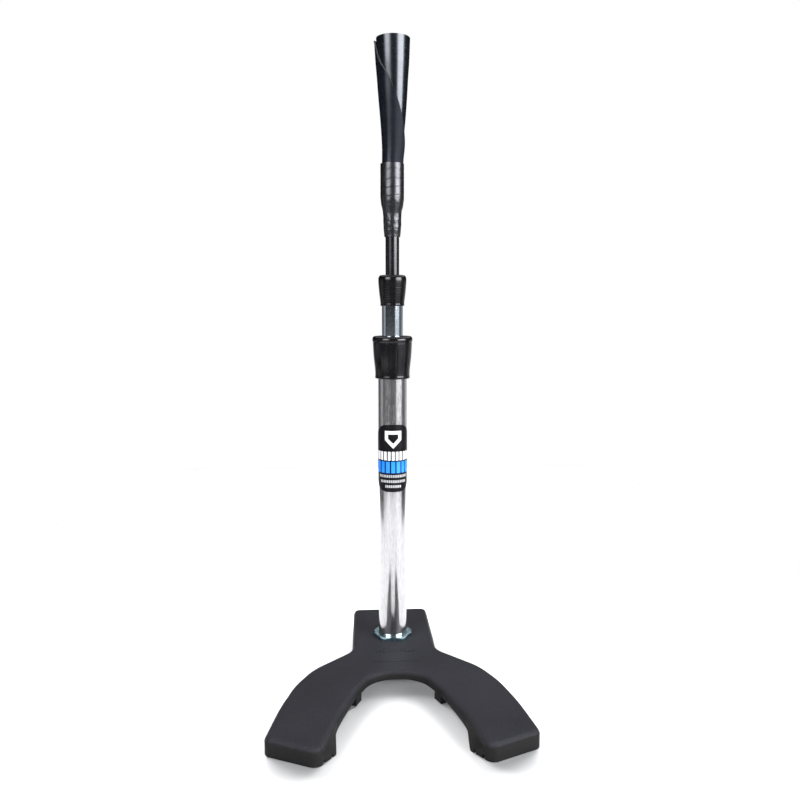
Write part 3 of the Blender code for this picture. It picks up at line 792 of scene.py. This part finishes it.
def build_label():
    """Film wrapped round the front of the tube with rounded ends, and its generic prints."""
    low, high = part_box("label")
    edge = LABEL_EDGE
    corner = LABEL_CORNER
    count = LABEL_STEPS
    points = []
    for i in range(count + 1):
        share = 0.5 - 0.5 * math.cos(math.pi * i / count)
        angle = -edge + 2 * edge * share
        into = min(corner, max(0.0, corner - (edge - abs(angle)) * LABEL_RADIUS))
        cut_back = corner - math.sqrt(max(0.0, corner * corner - into * into))
        for radius in (LABEL_INNER, LABEL_RADIUS):
            x, y = radius * math.sin(angle), POST_Y - radius * math.cos(angle)
            points += [(x, y, low.z + cut_back), (x, y, high.z - cut_back)]
    faces = []
    for i in range(count):
        a = 4 * i
        b = a + 4
        faces += [(a + 2, b + 2, b + 3, a + 3), (a, a + 1, b + 1, b)]
        faces += [(a + 1, a + 3, b + 3, b + 1), (a, b, b + 2, a + 2)]
    end = 4 * count
    faces += [(0, 2, 3, 1), (end, end + 1, end + 3, end + 2)]
    finish_mesh("label_wrap", points, faces, FILM, "base", ["label"], 40)
    top = high.z
    plate = [(-10.5, -7.5), (10.5, -7.5), (10.5, -18.5), (0.0, -29.0), (-10.5, -18.5)]
    print_shapes("label_home_plate", [[(x, top + z * MM) for x, z in plate]], PRINT_SILVER)
    core = [(-6.3, -11.7), (6.3, -11.7), (6.3, -16.8), (0.0, -23.1), (-6.3, -16.8)]
    plate_field([(x, top + z * MM) for x, z in core])
    # name, ink, top edge, height, pitch and width in mm, number
    rows = (
        ("label_bars_white", PRINT_WHITE, -33.0, 10.6, 4.9, 3.2, 11),
        ("label_bars_blue", PRINT_BLUE, -45.2, 14.0, 6.7, 5.0, 9),
        ("label_ticks_upper", PRINT_GREY, -61.6, 3.2, 2.3, 1.5, 17),
        ("label_ticks_middle", PRINT_GREY, -68.0, 3.2, 2.3, 1.5, 15),
        ("label_ticks_lower", PRINT_GREY, -74.2, 3.2, 2.3, 1.5, 9),
    )
    for name, material, level, tall, pitch, wide, number in rows:
        shapes = []
        for k in range(number):
            x = (k - (number - 1) / 2) * pitch
            z0 = top + level * MM
            z1 = z0 - tall * MM
            left, right = x - wide / 2, x + wide / 2
            shapes.append([(left, z0), (right, z0), (right, z1), (left, z1)])
        print_shapes(name, shapes, material)


# ---------------------------------------------------------------- rest and tape

# height and inner radius in mm, turns, bearing of the free edge in degrees, lean to the right in mm
REST = [
    (556.6, 8.5, 1.30, 112.0, 0.0),
    (598.0, 8.5, 1.30, 104.0, 0.0),
    (614.0, 9.0, 1.36, 90.0, 0.8),
    (631.0, 9.9, 1.40, 63.0, 1.2),
    (652.0, 11.5, 1.40, 36.0, 1.4),
    (674.0, 13.2, 1.34, 9.0, 1.2),
    (694.0, 14.5, 1.27, -19.0, 1.0),
    (713.0, 15.9, 1.20, -55.0, 0.8),
    (739.0, 17.1, 1.15, -78.0, 0.6),
]


def smooth_table(height, column):
    """Catmull-Rom through one REST column."""
    rows = REST
    for i in range(len(rows) - 1):
        if height <= rows[i + 1][0] or i == len(rows) - 2:
            p1, p2 = rows[i], rows[i + 1]
            p0 = rows[max(i - 1, 0)]
            p3 = rows[min(i + 2, len(rows) - 1)]
            span = p2[0] - p1[0]
            t = max(0.0, min(1.0, (height - p1[0]) / span))
            m1 = (p2[column] - p0[column]) / max(p2[0] - p0[0], 1e-6) * span
            m2 = (p3[column] - p1[column]) / max(p3[0] - p1[0], 1e-6) * span
            a, b = p1[column], p2[column]
            return (
                (2 * t**3 - 3 * t**2 + 1) * a
                + (t**3 - 2 * t**2 + t) * m1
                + (3 * t**2 - 2 * t**3) * b
                + (t**3 - t**2) * m2
            )
    return rows[-1][column]


SHEET_COLUMNS = 300
SHEET_ROWS = 90
SHEET_THICK = 1.9 * MM
LAYER_PITCH = 2.2 * MM
FLAP_TURNS = 0.53
RIM_ZONE = 0.14
CORNER_DROP = 4.2
CORNER_TURNS = 0.3
CORNER_LIFT = 0.9 * MM
LIFT_TURNS = 0.05
EDGE_SLANT = 0.7 * MM


def build_rest():
    """One sheet rolled into a cone: its free corner dips and stands off a little at the rim."""
    columns = SHEET_COLUMNS
    rows = SHEET_ROWS
    bottom = REST[0][0]
    top = REST[-1][0]
    points = []
    for i in range(columns + 1):
        share = i / columns
        for k in range(rows + 1):
            level = k / rows
            height = bottom + level * (top - bottom)
            turns = smooth_table(height, 2)
            from_edge = (1 - share) * turns
            bearing = math.radians(smooth_table(height, 3) - 360 * from_edge)
            near_rim = max(0.0, level - 1 + RIM_ZONE) / RIM_ZONE
            drop = max(0.0, 1 - from_edge / CORNER_TURNS) ** 2 * CORNER_DROP * near_rim
            inner = smooth_table(height, 1) * MM + LAYER_PITCH * share * turns
            inner += CORNER_LIFT * max(0.0, 1 - from_edge / LIFT_TURNS) ** 1.5 * near_rim
            lean = smooth_table(height, 4) * MM
            for side, radius in enumerate((inner, inner + SHEET_THICK)):
                turn = bearing
                if i == columns and side:
                    turn -= EDGE_SLANT / radius
                x = radius * math.sin(turn) + lean
                points.append((x, POST_Y - radius * math.cos(turn), (height - drop) * MM))
    count = rows + 1

    def at(i, k, side):
        return (i * count + k) * 2 + side

    faces = []
    looks = []
    for i in range(columns):
        for k in range(rows):
            turns = smooth_table(bottom + (k + 0.5) / rows * (top - bottom), 2)
            from_edge = (1 - (i + 0.5) / columns) * turns
            for side in (0, 1):
                low = (at(i, k, side), at(i + 1, k, side))
                faces.append((*low, at(i + 1, k + 1, side), at(i, k + 1, side)))
                looks.append(1 if side and from_edge < FLAP_TURNS else 0)
        for k in (0, rows):
            faces.append((at(i, k, 0), at(i + 1, k, 0), at(i + 1, k, 1), at(i, k, 1)))
            looks.append(0)
    for i in (0, columns):
        for k in range(rows):
            faces.append((at(i, k, 0), at(i, k + 1, 0), at(i, k + 1, 1), at(i, k, 1)))
            looks.append(2 if i else 0)
    obj = finish_mesh(
        "ball_rest_roll", points, faces, SHEET, "upper", ["ball_rest"], 40, [FLAP, EDGE]
    )
    obj.data.polygons.foreach_set("material_index", looks)


# height and radius in mm
TAPE_FOOT = 513.1
TAPE_TOP = 597.7
TAPE_OUTER = [
    (TAPE_TOP, 14.05), (562.0, 14.05), (556.0, 13.9), (548.5, 12.9), (541.5, 11.1),
    (536.0, 10.75), (526.0, 10.65), (519.0, 10.15), (TAPE_FOOT, 9.35),
]
TAPE_INNER = [(TAPE_FOOT, 8.5), (538.0, 8.5), (548.0, 11.6), (556.0, 13.45), (TAPE_TOP, 13.45)]
TURN_RISE = 9.6
TURN_DRIFT = 0.35
LAP = 0.10
LAP_END = 0.85
CREASED_BELOW = 566.0
TAPE_STEPS = 170
TAPE_RIM = 14.0 * MM
AVERAGED = 5


def around(angle, size, height):
    """Place on a ring of the given size, for noise that closes on itself."""
    return Vector((math.sin(angle) * size, math.cos(angle) * size, height))


def wound(radius, height, angle):
    """Laps of the winding, with creases where the tape narrows to the tube."""
    if radius < 9.3 * MM or (radius < 13.5 * MM and height > 0.556):
        return radius, height
    z = height / MM
    drift = noise.noise(around(angle, 1.4, z * 0.05))
    turns = (z - TAPE_FOOT) / TURN_RISE - angle / (2 * math.pi) + TURN_DRIFT * drift
    step = turns - math.floor(turns)
    if step < LAP_END:
        ridge = LAP * (1 - step / LAP_END)
    else:
        ridge = LAP * (step - LAP_END) / (1 - LAP_END)
    crease = 0.10 * noise.noise(around(angle, 1.6, z * 0.09 + 7))
    if z < CREASED_BELOW:
        depth = min(1.0, (CREASED_BELOW - z) / 14)
        crease += 0.26 * noise.noise(around(angle, 2.2, z * 0.16 + angle * 0.5)) * depth
        crease += 0.05 * noise.noise(around(angle, 5.0, z * 0.5)) * depth
    return radius + (ridge - 0.12 + crease) * MM, height


def build_tape():
    """Sleeve of wound tape whose outer run is TAPE_OUTER, softened by a running mean."""
    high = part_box("tape_wrap")[1]
    outer = []
    for k in range(TAPE_STEPS + 1):
        z = TAPE_TOP + (TAPE_FOOT - TAPE_TOP) * k / TAPE_STEPS
        for (z1, r1), (z0, r0) in zip(TAPE_OUTER, TAPE_OUTER[1:]):
            if z0 <= z <= z1:
                outer.append((r0 + (r1 - r0) * (z - z0) / (z1 - z0), z))
                break
    smooth = []
    for k, (_, z) in enumerate(outer):
        near = [r for r, _ in outer[max(0, k - AVERAGED):k + AVERAGED + 1]]
        smooth.append((sum(near) / len(near) * MM, z * MM))
    smooth[0] = (TAPE_RIM, high.z)
    profile = smooth + [(r * MM, z * MM) for z, r in TAPE_INNER]
    revolve("tape_winding", profile, TAPE, "upper", ["tape_wrap"], 160, wound, 50)


# ---------------------------------------------------------------- hidden CAD nodes keep their shape

def dress_cad_nodes():
    """Materials for the inner pieces, which are shown with their CAD meshes."""
    looks = {
        "weight_plate": STEEL,
        "base_hub": STEEL,
        "bottom_cover": COVER,
        "lower_guide_bush": NYLON,
        "upper_guide_bush": NYLON,
        "middle_plug": NYLON,
        "upper_plug": NYLON,
        "upper_tube_cap": COLLAR,
        "middle_tube_insert": ZINC,
        "upper_tube_insert": ZINC,
        "middle_swivel_screw": ZINC,
        "upper_swivel_screw": ZINC,
    }
    for name in NODES:
        if "o_ring" in name:
            looks[name] = COLLAR
        if "cover_screw" in name:
            looks[name] = ZINC
    for name, material in looks.items():
        obj = NODES[name]
        obj.data.materials.clear()
        obj.data.materials.append(material)


# ---------------------------------------------------------------- studio

DEGREES_PER_RADIAN = 57.29578
AMBIENT = 0.015


def build_world():
    """Dark room with soft light panels, placed by bearing and lift."""
    world = bpy.data.worlds.new("studio")
    SCENE.world = world
    world.use_nodes = True
    tree = world.node_tree
    tree.nodes.clear()
    link = tree.links.new

    def node(kind, **settings):
        made = tree.nodes.new(kind)
        for key, value in settings.items():
            setattr(made, key, value)
        return made

    def calc(operation, a, b=0.0, c=0.0):
        made = node("ShaderNodeMath", operation=operation)
        for socket, value in zip(made.inputs, (a, b, c)):
            if hasattr(value, "links"):
                link(value, socket)
            else:
                socket.default_value = value
        return made.outputs["Value"]

    coords = node("ShaderNodeTexCoord")
    split = node("ShaderNodeSeparateXYZ")
    link(coords.outputs["Generated"], split.inputs["Vector"])
    x, y, z = (split.outputs[k] for k in "XYZ")
    bearing = calc("MULTIPLY", calc("ARCTAN2", x, calc("MULTIPLY", y, -1.0)), DEGREES_PER_RADIAN)
    lift = calc("MULTIPLY", calc("ARCSINE", z), DEGREES_PER_RADIAN)

    def band(source, low, high, soft):
        rise = node("ShaderNodeMapRange", interpolation_type="SMOOTHSTEP")
        rise.inputs["From Min"].default_value = low - soft
        rise.inputs["From Max"].default_value = low + soft
        link(source, rise.inputs["Value"])
        fall = node("ShaderNodeMapRange", interpolation_type="SMOOTHSTEP")
        fall.inputs["From Min"].default_value = high - soft
        fall.inputs["From Max"].default_value = high + soft
        fall.inputs["To Min"].default_value = 1.0
        fall.inputs["To Max"].default_value = 0.0
        link(source, fall.inputs["Value"])
        return calc("MULTIPLY", rise.outputs["Result"], fall.outputs["Result"])

    total = AMBIENT
    for low, high, soft, base, peak, edge, strength in SOFTBOXES:
        area = calc("MULTIPLY", band(bearing, low, high, soft), band(lift, base, peak, edge))
        total = calc("MULTIPLY_ADD", area, strength, total)
    background = node("ShaderNodeBackground")
    link(total, background.inputs["Strength"])
    background.inputs["Color"].default_value = (0.97, 0.98, 1.0, 1.0)
    white = node("ShaderNodeBackground")
    white.inputs["Color"].default_value = (1.0, 1.0, 1.0, 1.0)
    white.inputs["Strength"].default_value = 1.0
    path = node("ShaderNodeLightPath")
    mix = node("ShaderNodeMixShader")
    link(path.outputs["Is Camera Ray"], mix.inputs["Fac"])
    link(background.outputs["Background"], mix.inputs[1])
    link(white.outputs["Background"], mix.inputs[2])
    output = node("ShaderNodeOutputWorld")
    link(mix.outputs["Shader"], output.inputs["Surface"])


# bearing from the front (+ to the right) low, high, softness; lift low, high, softness, all in
# degrees; strength
SOFTBOXES = [
    (31.0, 75.0, 6.0, 2.0, 25.0, 2.5, 17.0),
    (28.0, 76.0, 6.0, -40.0, 1.5, 2.0, 1.0),
    (-58.0, -25.0, 9.0, 7.0, 30.0, 4.0, 12.5),
    (-80.0, -30.0, 8.0, -40.0, -13.0, 3.0, 0.9),
    (-116.0, -82.0, 7.0, -12.0, 3.0, 3.0, 0.5),
    (78.0, 120.0, 6.0, -12.0, 2.0, 3.0, 0.20),
    (-75.0, 30.0, 8.0, -40.0, -1.5, 2.5, 0.20),
    (-26.0, 31.0, 9.0, 2.0, 26.0, 4.0, 0.09),
    (118.0, 200.0, 12.0, -30.0, 0.0, 4.0, 0.7),
    (-200.0, -150.0, 12.0, -30.0, 0.0, 4.0, 0.6),
    (-150.0, -125.0, 8.0, -30.0, 0.0, 4.0, 0.15),
]


FLOOR_HALF = 0.63
FLOOR_FRONT = -0.80
FLOOR_BACK = 1.2
FLOOR_LEVEL = -0.0003


def build_floor():
    """Pale ground just below the base, which takes the soft shadow."""
    n = Nodes("pale_floor")
    slow = n.noise(3, 3)
    n.set(
        Base_Color=n.ramp(slow, [(0.3, (0.61, 0.61, 0.613)), (0.7, (0.64, 0.64, 0.643))]),
        Roughness=0.75,
    )
    points = [
        (-FLOOR_HALF, FLOOR_FRONT, FLOOR_LEVEL),
        (FLOOR_HALF, FLOOR_FRONT, FLOOR_LEVEL),
        (FLOOR_HALF, FLOOR_BACK, FLOOR_LEVEL),
        (-FLOOR_HALF, FLOOR_BACK, FLOOR_LEVEL),
    ]
    floor = finish_mesh("studio_floor", points, [(0, 1, 2, 3)], n.material, None)
    return floor


def build_studio():
    """Two low suns light only the floor from behind, and a wide one lights only the object."""
    build_world()
    floor = build_floor()
    only_floor = bpy.data.collections.new("floor_light")
    only_floor.objects.link(floor)
    but_floor = bpy.data.collections.new("piece_light")
    but_floor.objects.link(floor)
    but_floor.collection_objects[0].light_linking.link_state = "EXCLUDE"
    over = soft_sun("overhead", 2.3, 115, -8, 6)
    over.light_linking.receiver_collection = but_floor
    for k, turn in enumerate((-28, 28)):
        spill = soft_sun(f"backdrop_spill_{k}", 10.5, 48, -74, 0, turn)
        spill.light_linking.receiver_collection = only_floor


def soft_sun(name, energy, spread, tip, roll, turn=0.0):
    """Sun as wide as spread, with its spread and turns in degrees."""
    data = bpy.data.lights.new(name, "SUN")
    data.energy = energy
    data.angle = math.radians(spread)
    sun = bpy.data.objects.new(name, data)
    sun.rotation_euler = (math.radians(tip), math.radians(roll), math.radians(turn))
    SCENE.collection.objects.link(sun)
    return sun


CAMERA_X = -0.04285
CAMERA_AWAY = 0.97506
CAMERA_HEIGHT = 0.4365
CAMERA_HEADING = 3.0555
CAMERA_PITCH = 6.957
CAMERA_LENS = 36.24


def build_camera():
    data = bpy.data.cameras.new("view_camera")
    data.sensor_width = 36.0
    data.lens = CAMERA_LENS
    camera = bpy.data.objects.new("view_camera", data)
    bearing = math.radians(CAMERA_HEADING)
    pitch = math.radians(CAMERA_PITCH)
    camera.location = (CAMERA_X, POST_Y - CAMERA_AWAY, CAMERA_HEIGHT)
    forward = Vector((
        math.cos(pitch) * math.sin(bearing),
        math.cos(pitch) * math.cos(bearing),
        -math.sin(pitch),
    ))
    camera.rotation_mode = "QUATERNION"
    camera.rotation_quaternion = forward.to_track_quat("-Z", "Y")
    data.clip_start = 0.01
    SCENE.collection.objects.link(camera)
    SCENE.camera = camera


SCENE.view_settings.view_transform = "Standard"
build_camera()
build_base()
build_nut()
build_tube("lower_tube", "lower_tube_drawn", ALUMINIUM, "base")
build_tube("middle_tube", "middle_tube_drawn", CHROME, "middle")
build_tube("upper_tube", "upper_tube_coated", BLACK_TUBE, "upper")
build_collars()
build_label()
build_rest()
build_tape()
dress_cad_nodes()
build_studio()
